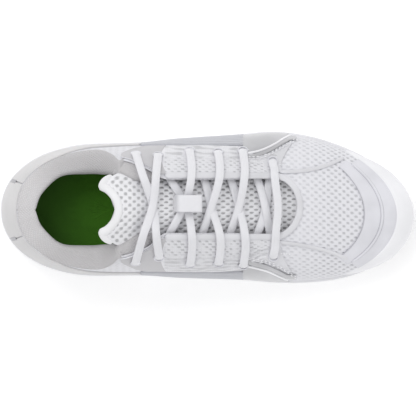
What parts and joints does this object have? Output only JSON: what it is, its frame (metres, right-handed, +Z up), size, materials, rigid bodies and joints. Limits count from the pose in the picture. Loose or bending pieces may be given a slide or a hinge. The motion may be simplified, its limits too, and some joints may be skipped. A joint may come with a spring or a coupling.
{
  "type": "cheer shoe",
  "caption": "Low-cut white cheer shoe, left foot: lace-up upper of mesh and smooth overlays with padded collar and tongue on a light flat sole.",
  "frame": {"origin": "middle of the shoe's outline on the floor, under the outsole", "axes": "+Z up, +X towards the toe along the shoe's length, +Y towards the outer (lateral) side of a left foot"},
  "size_m": [0.27, 0.0976, 0.0892],
  "materials": {
    "outsole_rubber": "white moulded rubber, matt",
    "midsole_foam": "white moulded EVA foam with a fine skin",
    "stiffener": "thermoplastic stiffener sheet",
    "board": "stitched non-woven lasting board",
    "insole_green": "dark green brushed knit over foam",
    "mesh": "white perforated air mesh",
    "ribbed_knit": "white ribbed knit",
    "lining": "light grey diagonal rib knit lining",
    "synthetic": "white smooth synthetic leather",
    "pearl": "pearl grey synthetic leather, satin",
    "lace": "white woven polyester",
    "aglet": "clear-coated acetate"
  },
  "bodies": {
    "shoe": {"aglet_lateral": "aglet", "aglet_medial": "aglet", "collar_foam": "midsole_foam", "collar_lining": "lining", "eyestay_lateral": "synthetic", "eyestay_medial": "synthetic", "heel_counter": "stiffener", "heel_cover": "synthetic", "insole": "insole_green", "lace": "lace", "lace_keeper": "lace", "midsole": "midsole_foam", "outsole_forefoot": "outsole_rubber", "outsole_heel": "outsole_rubber", "quarter_lateral": "mesh", "quarter_medial": "mesh", "rear_overlay_lateral": "synthetic", "rear_overlay_medial": "synthetic", "shank": "stiffener", "side_band_lateral": "ribbed_knit", "side_band_medial": "ribbed_knit", "side_panel_lateral": "pearl", "side_panel_medial": "pearl", "strobel_board": "board", "throat_binding": "synthetic", "toe_band_inner": "synthetic", "toe_band_outer": "synthetic", "toe_bumper": "outsole_rubber", "toe_puff": "stiffener", "tongue": "mesh", "vamp": "mesh", "vamp_lining": "lining", "vamp_strip_lateral": "synthetic", "vamp_strip_medial": "synthetic"},
    "tongue_flap": {"tongue_top": "mesh", "tongue_binding": "lining"}
  },
  "joints": [
    {"name": "tongue_fold", "type": "hinge", "parent": "shoe", "child": "tongue_flap", "pos_m": [-0.0482, -0.0008, 0.0842], "axis": [0, 1, 0], "range_deg": [-8, 35], "stiffness_Nm_per_rad": 0.02}
  ]
}
